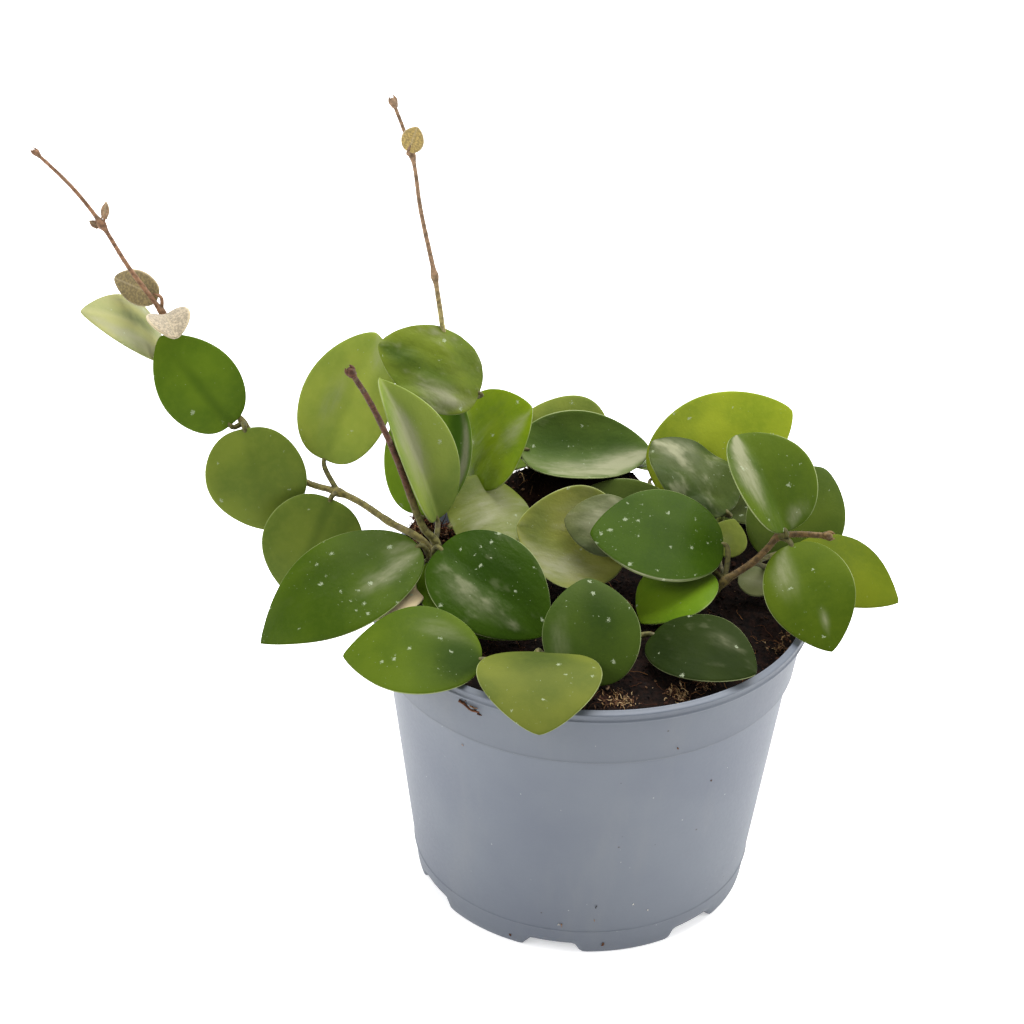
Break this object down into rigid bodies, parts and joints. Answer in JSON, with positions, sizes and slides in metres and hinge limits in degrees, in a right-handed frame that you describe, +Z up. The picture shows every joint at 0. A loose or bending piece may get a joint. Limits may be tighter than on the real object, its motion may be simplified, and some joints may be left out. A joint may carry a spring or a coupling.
{
  "type": "potted trailing plant",
  "caption": "Young wax plant with thick oval leaves on trailing and upright stems, rooted in dark potting soil in a round tapered plastic nursery pot with a collar rim.",
  "frame": {"origin": "on the pot's axis, at the level of the floor that the pot stands on", "axes": "+Z up along the pot's axis; -Y towards the viewer of the picture; +X to the viewer's right"},
  "size_m": [0.293, 0.1873, 0.2654],
  "materials": {
    "pot": "matte moulded plastic, slate grey-blue",
    "soil": "rough, damp peat with coir and bark chips",
    "vine_left": "waxy leaf, satin, mid green with silvery flecks",
    "runner_left": "waxy leaf, satin, olive green",
    "shoot_left": "waxy leaf, satin, pale green half and green half",
    "stem_left_front": "waxy leaf, satin, dark to mid green",
    "stem_front_left": "waxy leaf, satin, mid green",
    "stem_front": "waxy leaf, satin, light yellow-green",
    "stem_centre": "waxy leaf, satin, grey olive",
    "stem_mid_left": "waxy leaf, satin, olive to light green",
    "stem_back": "waxy leaf, satin, dark green",
    "stem_right": "waxy leaf, satin, mid green with silvery flecks",
    "stem_right_back": "waxy leaf, satin, light green, one rumpled",
    "stem_front_right": "waxy leaf, satin, dark green",
    "stem_back_right": "waxy leaf, satin, mid green",
    "stem_back_left": "waxy leaf, satin, mid green"
  },
  "bodies": {
    "root": {"pot": "pot", "soil": "soil", "vine_left": "vine_left", "runner_left": "runner_left", "shoot_left": "shoot_left", "stem_left_front": "stem_left_front", "stem_front_left": "stem_front_left", "stem_front": "stem_front", "stem_centre": "stem_centre", "stem_mid_left": "stem_mid_left", "stem_back": "stem_back", "stem_right": "stem_right", "stem_right_back": "stem_right_back", "stem_front_right": "stem_front_right", "stem_back_right": "stem_back_right", "stem_back_left": "stem_back_left"}
  },
  "joints": []
}
